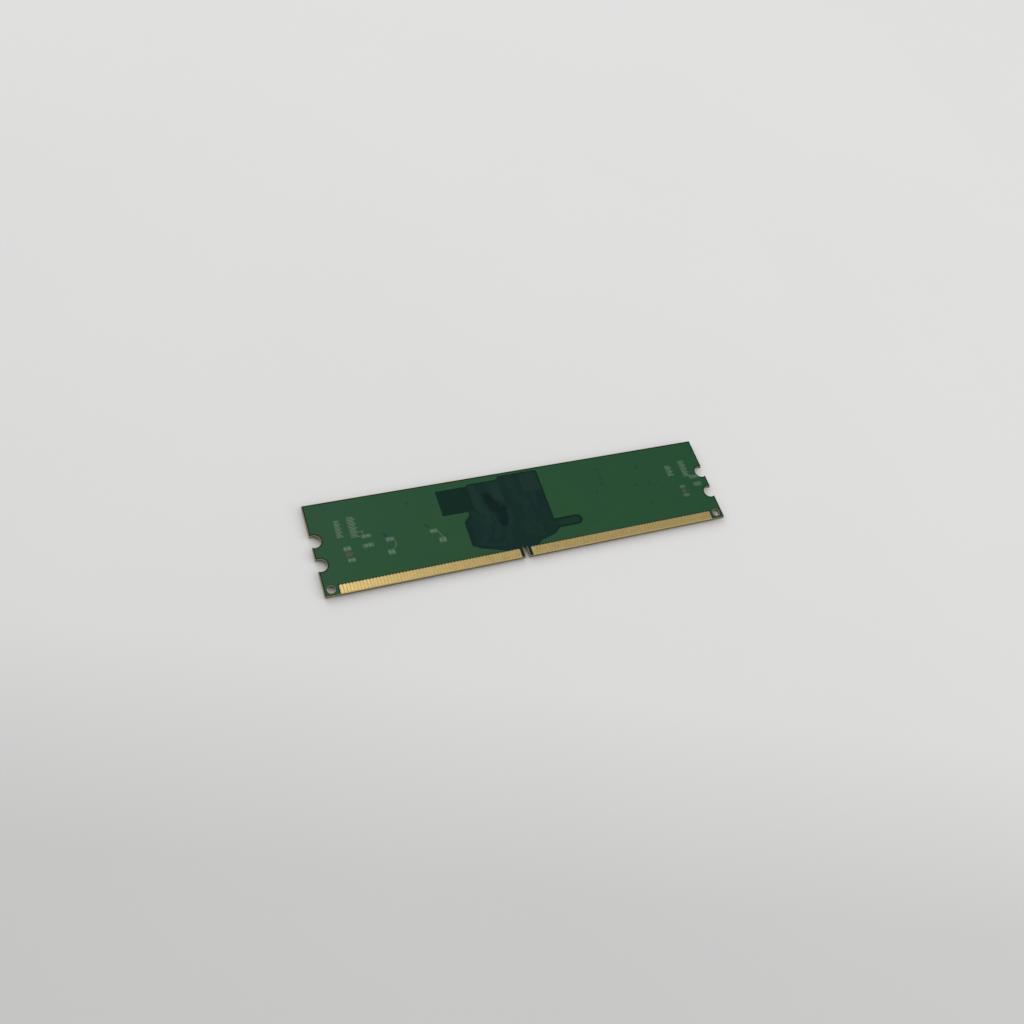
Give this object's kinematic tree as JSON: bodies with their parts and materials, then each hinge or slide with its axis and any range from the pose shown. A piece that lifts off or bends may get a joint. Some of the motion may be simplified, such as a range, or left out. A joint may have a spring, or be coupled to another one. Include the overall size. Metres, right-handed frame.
{
  "type": "memory module",
  "caption": "Green desktop memory module lying on its packages, bare back up, with gold edge contacts either side of a key notch and latch notches in both ends.",
  "frame": {"origin": "under the centre of the board, in the plane that the packages' tops rest on", "axes": "+X along the board's length, +Y from the contact edge to the top edge, +Z out of the bare back"},
  "size_m": [0.1334, 0.03, 0.0025],
  "materials": {
    "solder_mask": "green solder mask, satin",
    "laminate": "cut edge of glass-epoxy laminate",
    "copper": "bare copper foil",
    "gold_contact": "gold plating over copper and nickel",
    "mould_compound": "black filled epoxy, matte",
    "silicon": "polished silicon",
    "package_substrate": "thin green laminate with solder balls",
    "tinned_lead": "tin-plated copper alloy",
    "resistor_ceramic": "ceramic under a black glaze",
    "capacitor_ceramic": "tan ceramic"
  },
  "bodies": {
    "root": {"solder_mask_back": "solder_mask", "copper_back": "copper", "laminate_back": "laminate", "power_plane": "copper", "laminate_core_left": "laminate", "laminate_core_right": "laminate", "ground_plane": "copper", "laminate_front": "laminate", "copper_front": "copper", "solder_mask_front": "solder_mask", "contacts_back_left": "gold_contact", "contacts_back_right": "gold_contact", "contacts_front_left": "gold_contact", "contacts_front_right": "gold_contact", "memory_1_moulded_cap": "mould_compound", "memory_1_die": "silicon", "memory_1_substrate": "package_substrate", "memory_2_moulded_cap": "mould_compound", "memory_2_die": "silicon", "memory_2_substrate": "package_substrate", "memory_3_moulded_cap": "mould_compound", "memory_3_die": "silicon", "memory_3_substrate": "package_substrate", "memory_4_moulded_cap": "mould_compound", "memory_4_die": "silicon", "memory_4_substrate": "package_substrate", "memory_5_moulded_cap": "mould_compound", "memory_5_die": "silicon", "memory_5_substrate": "package_substrate", "memory_6_moulded_cap": "mould_compound", "memory_6_die": "silicon", "memory_6_substrate": "package_substrate", "memory_7_moulded_cap": "mould_compound", "memory_7_die": "silicon", "memory_7_substrate": "package_substrate", "memory_8_moulded_cap": "mould_compound", "memory_8_die": "silicon", "memory_8_substrate": "package_substrate", "spd_case_outer_half": "mould_compound", "spd_case_inner_half": "mould_compound", "spd_die": "silicon", "spd_lead_frame": "tinned_lead", "resistor_network_01": "resistor_ceramic", "resistor_network_02": "resistor_ceramic", "resistor_network_03": "resistor_ceramic", "resistor_network_04": "resistor_ceramic", "resistor_network_05": "resistor_ceramic", "resistor_network_06": "resistor_ceramic", "resistor_network_07": "resistor_ceramic", "resistor_network_08": "resistor_ceramic", "resistor_network_09": "resistor_ceramic", "resistor_network_10": "resistor_ceramic", "resistor_network_11": "resistor_ceramic", "resistor_network_12": "resistor_ceramic", "resistor_network_13": "resistor_ceramic", "resistor_network_14": "resistor_ceramic", "resistor_network_15": "resistor_ceramic", "resistor_network_16": "resistor_ceramic", "bulk_capacitor_1": "capacitor_ceramic", "bulk_capacitor_2": "capacitor_ceramic"}
  },
  "joints": []
}
